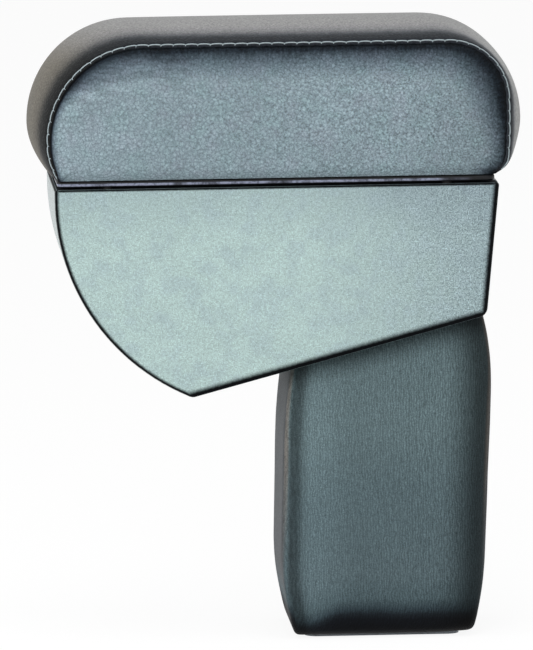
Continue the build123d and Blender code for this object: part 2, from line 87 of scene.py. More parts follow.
# Stitching along both seams: a bowed thread for each stitch, and a tick at one end of it
STITCH_PITCH = 7.5
STITCH_LENGTH = 7.7
STITCH_RADIUS = 0.36
STITCH_BOW = 0.32
STITCH_DIVE = 0.3
STITCH_SET_IN = 0.3
STITCH_SLANT = 0.5
STITCH_LIFT = 0.12
TICK_LENGTH = 1.7
TICK_RADIUS = 0.26
TICK_DIVE = 0.2
TICK_TURN = 70
TICK_SHIFT = 0.45
TICK_DROP = 0.12
THREAD_SIDES = 8
THREAD_RINGS = 13
THREAD_FULLNESS = 1.5
# A stitch is looked for this far outside the seam, and leans out and sideways from the cover's normal
STITCH_SEARCH = 2
STITCH_LEAN_OUT = 0.3
STITCH_LEAN_SIDE = 0.5
# How far the seam draws the strip and the panels in, and over what reach
STRIP_SINK = 1.2
PANEL_SINK = 1.5
SINK_REACH = 2.6
# Depth and reach of the pucker at each stitch, and of the panels' tuck under the strip
STRIP_PUCKER = (0.2, 3)
PANEL_PUCKER = (0.25, 4.5)
PANEL_TUCKS = ((1.9, 1.7), (0.6, 6))
# Heights over the cushion's foot up to which the strip isn't drawn in, and a panel not fully
STRIP_HEM = 0.5
PANEL_HEM = 4
# A panel's point moves in only if its normal leans at least this far from straight sideways
LEAST_LEAN = 0.05

# Leg, over its cover
LEG_FRONT = -61.3
LEG_REAR = 60.3
LEG_FRONT_LEAN = 1.7
LEG_REAR_LEAN = 2.7
LEG_FRONT_TUCK = 7.5
LEG_FRONT_TUCK_HEIGHT = 40.5
LEG_REAR_TUCK = 5.6
LEG_REAR_TUCK_HEIGHT = 36
LEG_HALF = 55
LEG_CORNER = 9
LEG_FOOT = 3.5
LEG_FOOT_ROUND = 11
LEG_FOOT_CORNER = 3
LEG_CORNER_GROWTH = 22
# The cover's hem hangs this far over the foot plate, up to where it rises towards the rear
LEG_HEM = 2
LEG_HEM_HEIGHT = 14
LEG_HEM_RISE_FROM = 22
LEG_HEM_RISE_TO = 62
# Under the box the leg is drawn in along arcs of these radii
LEG_PULL_HEIGHT = 42
LEG_FRONT_PULL = 300
LEG_REAR_PULL = 141
WRINKLE_PITCH = 1.6
# The box floor's underside: its rear end and its slope
HEEL_X = 64.41
HEEL_Z = 197.9
FLOOR_SLOPE = 14.7
# Rows under the foot, as shares of its plan, and over it, below those that turn to the box floor's slope
LEG_UNDER_ROWS = (0.4, 0.7, 0.88)
LEG_FOOT_ROWS = (0, 0.5, 1.5, 3, 5, 7.5, 10.5, 14)
LEG_ROWS = 40
LEG_HELD_ROWS = 7
LEG_FIT_ROUNDS = 4
LEG_CORNER_QUADS = 6
LEG_SIDE_QUADS = 20

# Cloth simulations that fill out the covers
CLOTH_FRAMES = 20
CLOTH_QUALITY = 6
CLOTH_MASS = 0.3
CLOTH_SHEAR_SHARE = 1 / 3
CLOTH_BENDING = 0.5
# Pressure, stiffness and longest move, and how far the cushion's top and sides are then pushed out
CUSHION_FILL = (4, 15, 12)
LEG_FILL = (2, 30, 0.7)
TOP_SWELL = 0.5
PANEL_SWELL = 0.6
# Where the rise of the cushion's top is measured: a place along it, and the reach along and across
TOP_MIDDLE = -60
TOP_MIDDLE_REACH = 20
TOP_MIDDLE_HALF = 1

# Storage box, for its finish: the sprayed pale faces, and the painted shade along its edges
BOX_HALF = 66
BOX_RIM = 279.1
BOX_FRONT_RADIUS = 132.2
BOX_ARC_X = -65.3
BOX_ARC_Z = 273.1
BOX_REAR = 72.8
BOX_REAR_LEAN = 5.9
# Painted highlight along the lid pan's edge, which is also glossier there: its height, and half its width
# with and without soft borders
PAN_HIGHLIGHT = 281.8
PAN_HIGHLIGHT_HALF = 1
PAN_HIGHLIGHT_FULL = 0.4

# Camera of the photograph: nearly side on, a little rolled, from far away with a long lens
CAMERA_AZIMUTH = -3
CAMERA_ELEVATION = 6.5
CAMERA_ROLL = 0.7
CAMERA_DISTANCE = 8
CAMERA_TARGET = (-0.06657, 0, 0.1873)
CAMERA_LENS = 724

# Studio: a glowing floor just below the foot, a sky that lights less than it shows, and the lights' azimuth,
# elevation, distance, size and power
FLOOR_SIZE = 12
FLOOR_DROP = 0.2
FLOOR_COLOUR = (0.9, 0.9, 0.9, 1)
FLOOR_GLOW = 1.06
FLOOR_GLOW_SHARE = 0.85
SKY_COLOUR = (1, 1, 1, 1)
SKY_LIGHT = 0.45
LIGHTS = {
    "front_light": (-12, 26, 3, 1.6, 26),
    "left_light": (-78, 14, 2.6, 1.4, 10),
    "top_light": (15, 70, 2.4, 1.6, 14),
}


def srgb(red, green, blue):
    """A colour on screen, 0 to 255, as the linear one that sockets take."""
    def linear(value):
        value /= 255
        return value / 12.92 if value <= 0.04045 else ((value + 0.055) / 1.055) ** 2.4
    return (linear(red), linear(green), linear(blue), 1.0)


# Tones on screen, at distances from a seam on the cushion and at heights on the leg; the dark ones are
# painted shade in the seams and at the leg's foot
PANEL_SHADED_TONES = (
    (0.72, (8, 12, 17)),
    (2.4, (14, 20, 26)),
    (4.8, (30, 38, 46)),
    (7.2, (63, 74, 83)),
    (10.08, (86, 99, 109)),
    (13.2, (104, 119, 129)),
    (17.28, (122, 139, 148)),
    (24, (142, 160, 168)),
)
STRIP_SHADED_TONES = (
    (0, (46, 50, 56)),
    (3.4, (34, 38, 43)),
    (8.16, (34, 38, 43)),
    (12.24, (60, 64, 69)),
    (16.32, (104, 106, 110)),
    (20.4, (134, 135, 137)),
    (26.52, (150, 150, 151)),
    (34, (158, 158, 158)),
)
LEG_SHADED_TONES = (
    (5.85, (6, 8, 12)),
    (11.7, (12, 15, 20)),
    (14.95, (26, 32, 37)),
    (18.2, (50, 62, 68)),
    (24.7, (76, 92, 97)),
    (39, (86, 102, 107)),
    (91, (88, 105, 110)),
    (130, (97, 115, 119)),
)
# Casts, by which a tone is multiplied: warm and cool ones at random, painted shade with a brown tint, and
# painted light
WARM_CAST = (1.08, 0.99, 1.03)
COOL_CAST = (0.94, 1.02, 0.98)
FRONT_SHADE_BROWN = (0.54, 0.5, 0.42)
REAR_PAINTED_LIGHT = (1.3, 1.32, 1.3)


def operator(operation, swapped=False):
    """A socket's method that feeds it, and what else it is given, to a math node."""
    def method(self, *others):
        values = (*others, self) if swapped else (self, *others)
        return self.nodes.node("ShaderNodeMath", {"operation": operation}, dict(enumerate(values)))
    return method


class Socket:
    """A value in a node tree, with the arithmetic that the finishes use."""

    def __init__(self, nodes, socket):
        self.nodes = nodes
        self.socket = socket

    __add__ = operator("ADD")
    __radd__ = operator("ADD", swapped=True)
    __sub__ = operator("SUBTRACT")
    __rsub__ = operator("SUBTRACT", swapped=True)
    __mul__ = operator("MULTIPLY")
    __truediv__ = operator("DIVIDE")
    __pow__ = operator("POWER")
    __abs__ = operator("ABSOLUTE")
    sine = operator("SINE")
    least = operator("MINIMUM")
    most = operator("MAXIMUM")

    def about(self, spread):
        """A value from 0 to 1 as one about 0, with this spread."""
        return (self - 0.5) * spread

    def fade(self, low, high):
        """0 at low, 1 at high, and smooth between."""
        return self.nodes.node(
            "ShaderNodeMapRange", {"interpolation_type": "SMOOTHSTEP"}, {0: self, 1: low, 2: high}
        )

    def beside(self, output):
        """Another output of the node that this value comes from."""
        return Socket(self.nodes, self.socket.node.outputs[output])


class Nodes:
    """A node tree under construction, with the one method that adds nodes to it."""

    def __init__(self, tree):
        self.tree = tree

    def feed(self, socket, value):
        """Links a value to an input, or sets a fixed one."""
        if isinstance(value, Socket):
            self.tree.links.new(value.socket, socket)
        else:
            socket.default_value = value[:3] if socket.type == "VECTOR" else value

    def node(self, kind, settings, values, output=0):
        """Adds a node, sets it up, feeds its inputs, and gives one of its outputs."""
        made = self.tree.nodes.new(kind)
        for name, setting in settings.items():
            setattr(made, name, setting)
        for name, value in values.items():
            self.feed(made.inputs[name], value)
        return Socket(self, made.outputs[output])

    def seen_straight(self):
        """1 for rays that see a thing by eye, in a reflection or through a clear piece."""
        rays = self.node("ShaderNodeLightPath", {}, {}, "Is Camera Ray")
        return rays.most(rays.beside("Is Glossy Ray")).most(rays.beside("Is Transmission Ray"))


class Finish(Nodes):
    """A material under construction, with the patterns that the finishes share."""

    def __init__(self, name, roughness=0.5, specular=0.3, metallic=0.0):
        self.material = bpy.data.materials.new(name)
        self.material.use_nodes = True
        super().__init__(self.material.node_tree)
        self.shader = self.tree.nodes["Principled BSDF"]
        self.feed(self.shader.inputs["Roughness"], roughness)
        self.feed(self.shader.inputs["Specular IOR Level"], specular)
        self.feed(self.shader.inputs["Metallic"], metallic)
        self.place = self.node("ShaderNodeTexCoord", {}, {}, "Object")

    def vector(self, operation, first, second):
        """A vector from two others, or from one and a number that scales it."""
        second_input = "Scale" if operation == "SCALE" else 1
        return self.node("ShaderNodeVectorMath", {"operation": operation}, {0: first, second_input: second})

    def axes(self):
        """X, Y and Z on the piece, in millimetres."""
        parted = self.node("ShaderNodeSeparateXYZ", {}, {0: self.vector("SCALE", self.place, 1 / MM)})
        return [parted.beside(i) for i in range(3)]

    def point(self, x, y, z):
        """A place in metres, on which a pattern may be stretched or turned."""
        return self.node("ShaderNodeCombineXYZ", {}, {0: x, 1: y, 2: z})

    def stored(self, name):
        """A value painted on the piece's own points."""
        return self.node("ShaderNodeAttribute", {"attribute_name": name}, {}, "Fac")

    def stretch(self, x, y, z):
        """The place on the piece, with each axis scaled."""
        return self.vector("MULTIPLY", self.place, (x, y, z))

    def clouds(self, size, detail=2.0, place=None, rough=0.5, output=0):
        """Noise from 0 to 1, with lumps of about this many millimetres."""
        values = {"Scale": 1 / (size * MM), "Detail": detail, "Roughness": rough}
        return self.node("ShaderNodeTexNoise", {}, {"Vector": place or self.place, **values}, output)

    def shift(self, place, amount, size):
        """A place moved about by noise, so that a pattern on it isn't regular."""
        wander = self.clouds(size, 1.0, place, output="Color")
        centred = self.vector("SUBTRACT", wander, (0.5, 0.5, 0.5))
        return self.vector("ADD", place, self.vector("SCALE", centred, amount * MM))

    def speckle(self, size, spread):
        """A factor about 1 that changes from speck to speck."""
        return 1.0 + self.clouds(size, rough=0.6).about(spread)

    def cells(self, feature, size, place, **values):
        """A distance in irregular cells of about this many millimetres."""
        values.update({"Vector": place, "Scale": 1 / (size * MM)})
        return self.node("ShaderNodeTexVoronoi", {"feature": feature}, values)

    def cracks(self, size, place, width):
        """0 in the cracks between irregular pebbles, 1 on the pebbles."""
        return self.cells("DISTANCE_TO_EDGE", size, place).fade(0.0, width)

    def pebbles(self, size, place):
        """Rounded pebbles: 0 between them, 1 on their tops."""
        return self.cells("SMOOTH_F1", size, place, Smoothness=0.3).fade(0.62, 0.12)

    def mix(self, share, first, second):
        """The first colour with this share of the second, by the node's sockets for colours."""
        return self.node("ShaderNodeMix", {"data_type": "RGBA"}, {0: share, 6: first, 7: second}, 2)

    def ramp(self, value, tones):
        """The colour at a value in a table of tones."""
        reach = tones[-1][0]
        ramp = self.node("ShaderNodeValToRGB", {}, {0: value / reach})
        stops = ramp.socket.node.color_ramp.elements
        while len(stops) < len(tones):
            stops.new(1.0)
        for stop, (position, colour) in zip(stops, tones):
            stop.position = position / reach
            stop.color = srgb(*colour)
        return ramp

    def tint(self, colour, light):
        """A colour made lighter or darker by a value around 1."""
        return self.vector("SCALE", colour, light)

    def cast(self, share, colour, cast):
        """A colour with this share of a cast over it."""
        return self.mix(share, colour, self.vector("MULTIPLY", colour, cast))

    def bump(self, height, distance, under=None):
        """Relief of this many millimetres, on another if one is given."""
        values = {"Distance": distance * MM, "Height": height}
        if under:
            values["Normal"] = under
        return self.node("ShaderNodeBump", {}, values)

    def done(self, colour, roughness=None, normal=None):
        """Links what varies to the shader, and gives the material."""
        for name, value in (("Base Color", colour), ("Roughness", roughness), ("Normal", normal)):
            if value:
                self.feed(self.shader.inputs[name], value)
        return self.material


def box_floor(x):
    """Height of the box floor's underside, where the leg ends."""
    return HEEL_Z + (x - HEEL_X) * tan(radians(FLOOR_SLOPE))


def panel_leatherette():
    """The cushion's sides: pebbled grain, with painted shade where it dips into the seam and in the fine
    creases beside it that it is drawn into, painted shade and light of soft folds in the upper front, and
    painted shade towards the rear."""
    finish = Finish("lid_leatherette", specular=0.08)
    x, y, z = finish.axes()
    off = finish.stored("off")
    run = finish.stored("run")
    wander = finish.shift(finish.place, 0.9, 2.6)
    crack = finish.cracks(2.5, wander, 0.13)
    small_crack = finish.cracks(1.6, wander, 0.16)
    top = finish.pebbles(2.5, wander)
    cloud = finish.clouds(30)
    drawn = finish.clouds(2.4, 1, finish.point(run * 0.001, off * 0.0004, 0)).fade(0.36, 0.62)
    drawn_reach = off.fade(17, 3) * x.fade(-178, -130)
    # Soft folds in the upper front, painted as shade and light only
    fold_place = finish.point(x * 0.00018 - z * 0.00035, x * 0.00009 + z * 0.0009, y * 0.0004)
    fold_shade = finish.clouds(3.4, 1, fold_place).fade(0.36, 0.64)
    fold_shade_reach = off.fade(40, 6) * x.fade(-95, -130) * z.fade(310, 335)
    # Painted shade along the seam: narrower towards the front, most of all low down, and at the foot of the
    # rear, wider at the top of the rear
    near_front = x.fade(-150, -190) * (0.3 + z.fade(348, 318) * 2.3)
    near_rear = x.fade(25, 68) * (0.6 - z.fade(286, 342))
    depth = off * (1 + near_front + near_rear) + cloud.about(4)
    tone = finish.ramp(depth, PANEL_SHADED_TONES)
    patch = finish.clouds(11)
    tone = finish.cast(patch.fade(0.5, 0.7) * 0.5, tone, WARM_CAST)
    tone = finish.cast(patch.fade(0.5, 0.3) * 0.5, tone, COOL_CAST)
    # Painted shade: darker towards the rear, a little lighter at the front
    tone = finish.tint(tone, 1.08 - x.fade(0, 88) * 0.25 + x.fade(-120, -195) * 0.08)
    grain = 0.66 + crack * 0.2 + small_crack * 0.12 + top * 0.12
    light = grain * (0.92 + cloud * 0.16) * finish.speckle(1.1, 1.4 + x.fade(-140, 20) * 0.75)
    # Painted shade and light in the creases beside the seam and in the soft folds
    crease_shaded = light * (1 - drawn_reach * (0.3 - drawn * 0.5)) * (1 - fold_shade_reach * (0.2 - fold_shade * 0.34))
    relief = finish.bump(crack * 0.5 + small_crack * 0.2 + top * 0.3, 0.3)
    relief = finish.bump(drawn * drawn_reach, 0.4, relief)
    return finish.done(finish.tint(tone, crease_shaded), 0.62 - top * 0.12, relief)


def strip_leatherette():
    """The cushion's top strip: a finer, flatter grain, with painted shade along both seams, painted shade
    with a brown tint down the front and painted light down the rear."""
    finish = Finish("strip_leatherette", specular=0.12)
    x, _, z = finish.axes()
    off = finish.stored("off")
    grain = finish.pebbles(1.7, finish.shift(finish.place, 1, 4))
    cloud = finish.clouds(34)
    ragged = finish.clouds(6)
    # Painted shade with a brown tint down the strip's front; painted light down its rear, where the painted
    # shade along the seams is also wider
    front_end_shade = x.fade(-115, -180) * z.fade(382, 350)
    rear_shade_and_light = x.fade(30, 75) * z.fade(378, 350)
    # Painted shade along the seams, wider down the rear
    depth = (off + ragged.about(4)) * (1 + rear_shade_and_light * 0.8)
    tone = finish.ramp(depth, STRIP_SHADED_TONES)
    tone = finish.cast(front_end_shade, tone, FRONT_SHADE_BROWN)
    tone = finish.cast(rear_shade_and_light, tone, REAR_PAINTED_LIGHT)
    light = (0.92 + grain * 0.14) * (0.94 + cloud * 0.12) * finish.speckle(1.2, 1.6)
    return finish.done(finish.tint(tone, light), 0.6 - grain * 0.08, finish.bump(grain, 0.1))


def leg_leatherette():
    """The leg's cover: fine upright wrinkles, painted shade round the corners and at the foot, a painted
    shadow under the box, painted light on the front with the ends painted greyer as they are lit, and painted
    highlights along the upright corners and low at the front of the sides."""
    finish = Finish("leg_leatherette", specular=0.08)
    x, y, z = finish.axes()
    edge = finish.stored("edge")
    ends = finish.stored("ends")
    meander = finish.clouds(2.4, 1, finish.stretch(1, 1, 0.4)) * 3.6
    wrinkle = ((x + y + meander) * (tau / WRINKLE_PITCH)).sine() * 0.5 + 0.5
    drawn = 0.34 + x.fade(-20, 40) * 0.14
    cloud = finish.clouds(40, 3)
    # Painted highlight low at the front of the sides, where the foot's rounding meets the front corner
    mitre_highlight = x.fade(-24, -48) * ends.fade(0.6, 0.3) * 7.5
    # Painted shade at the rounded foot, from the tone table, with the leg darker downwards
    tone = finish.ramp(z + cloud.about(5) + mitre_highlight, LEG_SHADED_TONES)
    # Painted shadow on the leg just under the box floor
    box_shadow = (box_floor(x) - z).fade(17, 1)
    # Painted shade round the front and rear corners, and painted light on the front away from its corners
    front_corner_shade = x.fade(0, -20) * edge.fade(10, 5) * ends.fade(0.65, 0.35) * 0.58
    front_face_light = x.fade(-15, -40) * edge.fade(9, 14) * 0.26
    rear_corner_shade = x.fade(0, 20) * edge.fade(30, 3) * (0.78 - ends.fade(0.6, 0.9) * 0.45)
    painted_shade_and_light = (1 - box_shadow * 0.62) * (1 - front_corner_shade + front_face_light) * (1 - rear_corner_shade)
    # Painted light: the front and rear faces greyer above the foot, as the light falls on them
    off_foot = z.fade(16, 40)
    tone = finish.mix(ends.fade(0.6, 0.95) * off_foot, tone, srgb(82, 85, 88))
    # Painted highlight along the upright corners
    corner_highlight = ends.fade(0.5, 0.66) * ends.fade(0.95, 0.8) * z.fade(40, 120)
    tone = finish.mix(corner_highlight * 0.7, tone, srgb(126, 119, 112))
    light = (1 + wrinkle.about(drawn)) * (0.95 + cloud * 0.14) * finish.speckle(0.75, 1.8)
    return finish.done(finish.tint(tone, light * painted_shade_and_light), 0.62 - wrinkle * 0.1, finish.bump(wrinkle, 0.1))


def box_plastic():
    """The box: sprayed pale outside and charcoal moulding inside, with near-black painted shade along its
    edges, painted shade towards the rear and top, and a painted reflection that whitens the front face.
    """
    finish = Finish("box_plastic", specular=0.04)
    x, y, z = finish.axes()
    lean = radians(BOX_REAR_LEAN)
    # Depths below the outer faces
    side = BOX_HALF - abs(y)
    back = (x - BOX_ARC_X).least(0)
    below = (z - BOX_ARC_Z).least(0)
    front = BOX_FRONT_RADIUS - (back * back + below * below) ** 0.5
    floor = (z - box_floor(x)) * cos(radians(FLOOR_SLOPE))
    rear = (BOX_REAR + (z - BOX_RIM) * tan(lean) - x) * cos(lean)
    rim = BOX_RIM - z
    skin = front.least(floor).least(rear).least(side)
    # Distances from the edges, where two faces meet, scaled so that the bands of painted shade along them get
    # their widths
    bands = (front * 1.45).least(floor * 0.82).least(rear * 0.95)
    side_edge = side.most(bands)
    keel_edge = front.most(floor)
    heel_edge = floor.most(rear)
    rim_edge = rim.most(skin) * 2.6
    edge = side_edge.least(keel_edge).least(heel_edge).least(rim_edge)
    # Pale spray on the outer faces; along the edges painted shade instead, and deeper in the charcoal
    # moulding
    sprayed = (edge + finish.clouds(2.2).about(0.8)).fade(1.8, 4.9) * skin.fade(1.8, 1.2)
    flake = finish.clouds(0.8, 1).fade(0.64, 0.78)
    cloud = finish.clouds(28, 3)
    # Painted shade: darker towards the rear and the top
    shade_to_rear = (x.fade(-60, 80) * 0.8 + z.fade(240, 282) * 0.42) * (0.6 + cloud * 0.8)
    pale = finish.mix(shade_to_rear, srgb(183, 206, 203), srgb(146, 164, 170))
    pale = finish.mix(finish.clouds(10).fade(0.4, 0.7) * 0.4, pale, srgb(164, 183, 190))
    # Painted reflection: the front face nearly white
    front_reflection = front.fade(1.4, 0.9) * side.fade(1, 3)
    pale = finish.mix(front_reflection * 0.65, pale, srgb(238, 241, 241))
    rougher = x.fade(-20, 60)
    fine = 1 + finish.clouds(0.75, 1).about(1.05 + rougher * 1.1)
    grain = fine * finish.speckle(1.7, 0.65 + rougher * 0.45) * (0.92 + cloud * 0.16)
    pale = finish.tint(pale, grain + flake * 0.12)
    # Near-black painted shade at the edges, and the charcoal moulding inside
    edge_shade_and_charcoal = finish.mix(skin.fade(1.4, 2.4), srgb(9, 11, 14), srgb(46, 49, 53))
    edge_shade_and_charcoal = finish.tint(edge_shade_and_charcoal, finish.speckle(1.2, 0.8))
    relief = finish.bump(finish.clouds(1.1), 0.06)
    return finish.done(finish.mix(sprayed, edge_shade_and_charcoal, pale), 0.62 - sprayed * 0.14, relief)


def pan_plastic():
    """The lid pan: black, glossier along a line on its edge, with a mottled painted highlight there that ends
    before the rear.
    """
    finish = Finish("pan_plastic")
    x, _, z = finish.axes()
    mottle = finish.clouds(16).fade(0.35, 0.6)
    lower = z.fade(PAN_HIGHLIGHT - PAN_HIGHLIGHT_HALF, PAN_HIGHLIGHT - PAN_HIGHLIGHT_FULL)
    upper = z.fade(PAN_HIGHLIGHT + PAN_HIGHLIGHT_HALF, PAN_HIGHLIGHT + PAN_HIGHLIGHT_FULL)
    line = lower * upper
    # Painted highlight along the glossier line, mottled, ending before the rear
    painted_highlight = line * (0.2 + mottle * 0.8) * finish.speckle(1.6, 3) * x.fade(62, 20)
    return finish.done(finish.mix(painted_highlight, srgb(7, 9, 13), srgb(150, 157, 180)), 0.55 - line * 0.3)


def moulded_plastic(name, colour, roughness, grain):
    """A plain moulded piece with a fine spark-eroded grain."""
    finish = Finish(name, specular=0.4)
    speckle = finish.clouds(grain, 3, rough=0.65)
    cloud = finish.clouds(30)
    colour = finish.tint(colour, (0.82 + speckle * 0.36) * (0.93 + cloud * 0.14))
    return finish.done(colour, roughness - 0.08 + speckle * 0.16, finish.bump(speckle, 0.04))


def brushed_steel():
    """Zinc-bright steel of the hinge, screws and plates, brushed along Y."""
    finish = Finish("steel", metallic=1)
    brush = finish.clouds(0.9, 2, finish.stretch(1, 0.05, 1))
    cloud = finish.clouds(9)
    colour = finish.tint(srgb(176, 178, 180), (0.85 + brush * 0.2) * (0.92 + cloud * 0.14))
    return finish.done(colour, 0.26 + brush * 0.16, finish.bump(brush, 0.015))


def chip_board():
    """Raw board of the lid and the leg's carcass."""
    finish = Finish("board", roughness=0.8, specular=0.15)
    chips = finish.pebbles(3.5, finish.shift(finish.stretch(1, 1, 1.8), 2, 6))
    fibre = finish.clouds(0.8, 3)
    colour = finish.mix(fibre.fade(0.3, 0.7), srgb(150, 118, 82), srgb(186, 155, 115))
    return finish.done(finish.tint(colour, 0.82 + chips * 0.2), None, finish.bump(chips + fibre * 0.5, 0.12))


def open_foam(name, colour):
    """Foam and wadding, with open cells."""
    finish = Finish(name, roughness=0.95, specular=0.1)
    cells = finish.pebbles(1.3, finish.place)
    cloud = finish.clouds(20)
    colour = finish.tint(colour, (0.75 + cells * 0.3) * (0.95 + cloud * 0.1))
    return finish.done(colour, None, finish.bump(cells, 0.4))


def sewing_thread():
    """Pale, slightly uneven thread of the seams."""
    finish = Finish("seam_thread", roughness=0.7, specular=0.2)
    ply = finish.clouds(0.35)
    return finish.done(finish.tint(srgb(180, 194, 199), 0.82 + ply * 0.3), None, finish.bump(ply, 0.12))


def add_to_scene(thing):
    scene.collection.objects.link(thing)


def copy_of(piece):
    """A new piece of the same shape."""
    copied = piece.copy()
    copied.data = piece.data.copy()
    add_to_scene(copied)
    return copied


def select_only(*pieces):
    """Selects these pieces alone, the first as the active one."""
    bpy.ops.object.select_all(action="DESELECT")
    for piece in pieces:
        piece.select_set(True)
    bpy.context.view_layer.objects.active = pieces[0]


def join(pieces):
    select_only(*pieces)
    bpy.ops.object.join()
    return pieces[0]


def apply_modifier(piece, kind, **settings):
    """Adds a modifier, sets it, and applies it to the mesh."""
    select_only(piece)
    bpy.ops.object.modifier_add(type=kind)
    modifier = piece.modifiers[-1]
    for name, setting in settings.items():
        setattr(modifier, name, setting)
    bpy.ops.object.modifier_apply(modifier=modifier.name)


def shade_smooth(piece):
    select_only(piece)
    bpy.ops.object.shade_smooth_by_angle(angle=radians(SMOOTH_ANGLE))


def dress(piece, material):
    piece.data.materials.clear()
    piece.data.materials.append(material)


def closed_piece(name, points, faces):
    """A new mesh piece from points in millimetres, with its faces turned outwards."""
    mesh = bpy.data.meshes.new(name)
    mesh.from_pydata([[c * MM for c in point] for point in points], [], faces)
    piece = bpy.data.objects.new(name, mesh)
    add_to_scene(piece)
    select_only(piece)
    bpy.ops.object.mode_set(mode="EDIT")
    bpy.ops.mesh.select_all(action="SELECT")
    bpy.ops.mesh.normals_make_consistent(inside=False)
    bpy.ops.object.mode_set(mode="OBJECT")
    return piece


def paint(piece, name, values):
    """Stores a value for each point, which the finishes and the later shaping read."""
    layer = piece.data.attributes.new(name, "FLOAT", "POINT")
    layer.data.foreach_set("value", values)


def painted(piece, name):
    return [point.value for point in piece.data.attributes[name].data]


def normals_of(piece):
    """The normals at the piece's points, kept as they are while the points move."""
    return [vertex.normal.copy() for vertex in piece.data.vertices]


def swell(piece, held, pressure, stiffness, cap):
    """Fills the closed cover by a cloth simulation with the held points fixed. Returns each point's move, up
    to a cap, and puts the points back."""
    before = [vertex.co.copy() for vertex in piece.data.vertices]
    group = piece.vertex_groups.new(name="held")
    group.add(held, 1.0, "REPLACE")
    select_only(piece)
    bpy.ops.object.modifier_add(type="CLOTH")
    cloth = piece.modifiers[-1]
    settings = cloth.settings
    settings.quality = CLOTH_QUALITY
    settings.mass = CLOTH_MASS
    settings.tension_stiffness = stiffness
    settings.compression_stiffness = stiffness
    settings.shear_stiffness = stiffness * CLOTH_SHEAR_SHARE
    settings.bending_stiffness = CLOTH_BENDING
    settings.use_pressure = True
    settings.uniform_pressure_force = pressure
    settings.vertex_group_mass = group.name
    settings.effector_weights.gravity = 0.0
    for moment in range(1, CLOTH_FRAMES + 1):
        scene.frame_set(moment)
    bpy.ops.object.modifier_apply(modifier=cloth.name)
    scene.frame_set(1)
    moves = []
    for vertex, start in zip(piece.data.vertices, before):
        move = vertex.co - start
        if move.length > cap * MM:
            move *= cap * MM / move.length
        vertex.co = start
        moves.append(move)
    piece.vertex_groups.clear()
    return moves


def shares(count):
    """Equal steps from 0 up to, but not including, 1."""
    return [i / count for i in range(count)]


def clamp(value):
    return min(max(value, 0.0), 1.0)


def cushion_outline(swell_share, inset=0.0, foot=CUSHION_FOOT, steps=OUTLINE_STEPS):
    """Side outline of the cushion from its front foot over the top to its rear foot: the seam's outline,
    swollen by this share of the crown, then drawn in."""
    grow = swell_share * CROWN - inset
    front = SEAM_FRONT - grow
    rear = SEAM_REAR + grow
    top = SEAM_TOP + grow
    front_round = FRONT_ROUND + swell_share * (CROWN_ROUND - FRONT_ROUND) - inset
    rear_round = REAR_ROUND + swell_share * (CROWN_ROUND - REAR_ROUND) - inset
    front_shoulder = top - front_round
    rear_shoulder = top - rear_round
    front_tuck = FRONT_TUCK + (1 - FOOT_SHARE) * grow
    rear_tuck = REAR_TUCK + (1 - FOOT_SHARE) * grow
    tuck_top = CUSHION_FOOT + REAR_TUCK_HEIGHT
    points = []
    for t in shares(steps[0]):
        points.append((front + front_tuck * (1 - t) ** 2, foot + (front_shoulder - foot) * t))
    for t in shares(steps[1]):
        turn = t * pi / 2
        points.append((front + front_round * (1 - cos(turn)), front_shoulder + front_round * sin(turn)))
    for t in shares(steps[2]):
        points.append((front + front_round + t * (rear - rear_round - front - front_round), top))
    for t in shares(steps[3]):
        turn = t * pi / 2
        points.append((rear - rear_round + rear_round * sin(turn), rear_shoulder + rear_round * cos(turn)))
    for t in shares(steps[4]):
        points.append((rear, rear_shoulder + t * (tuck_top - rear_shoulder)))
    slow_share = TUCK_SLOW_SHARE + TUCK_SLOW_GAIN * swell_share
    for t in shares(steps[5]) + [1.0]:
        drawn_in = slow_share * t**TUCK_SLOW_POWER + (1 - slow_share) * t**TUCK_SUDDEN_POWER
        points.append((rear - rear_tuck * drawn_in, tuck_top + t * (foot - tuck_top)))
    return points


def lengths_along(points):
    """The distance of each point along the line from the first."""
    total = [0.0]
    for (x0, z0), (x1, z1) in zip(points, points[1:]):
        total.append(total[-1] + hypot(x1 - x0, z1 - z0))
    return total


def panel_bulge(inset, bulge):
    """How far a side panel stands out at this distance from its edge."""
    start = radians(SIDE_BULGE_ANGLE)
    turn = cos(start) * (1 - min(inset / SIDE_BULGE_WIDTH, 1.0))
    rise = (sqrt(1 - turn * turn) - sin(start)) / (1 - sin(start))
    crown = min(inset / SIDE_CROWN_WIDTH, 1.0)
    return bulge * ((1 - SIDE_CROWN_SHARE) * rise + SIDE_CROWN_SHARE * crown * (2 - crown))


class CoverPattern:
    """Gathers the points and faces of a cover, sharing the points where panels meet."""

    def __init__(self):
        self.points = []
        self.index = {}
        self.faces = []
        self.panels = []

    def point(self, x, y, z):
        key = (round(x, 3), round(y, 3), round(z, 3))
        if key not in self.index:
            self.index[key] = len(self.points)
            self.points.append((x, y, z))
        return self.index[key]

    def over_and_under(self, line, y, foot):
        """A row of points along an outline, and as many straight below it, from its front to its rear."""
        over = [self.point(x, y, z) for x, z in line]
        front, rear = line[0][0], line[-1][0]
        count = len(line) - 1
        under = [self.point(front + (rear - front) * i / count, y, foot) for i in range(count + 1)]
        return over, under

    def face(self, panel, *corners):
        """A face without the corners that coincide with the one before."""
        ring = [c for i, c in enumerate(corners) if c != corners[i - 1]]
        if len(ring) > 2:
            self.faces.append(ring)
            self.panels.append(panel)

    def grid(self, panel, rows):
        """Quads between rows of equal length."""
        for lower, upper in zip(rows, rows[1:]):
            for i in range(len(lower) - 1):
                self.face(panel, lower[i], lower[i + 1], upper[i + 1], upper[i])


def crown_share(y):
    """How much of the strip's crown is reached at this distance from its middle."""
    return 1 - (abs(y) / SEAM_HALF) ** CROWN_POWER


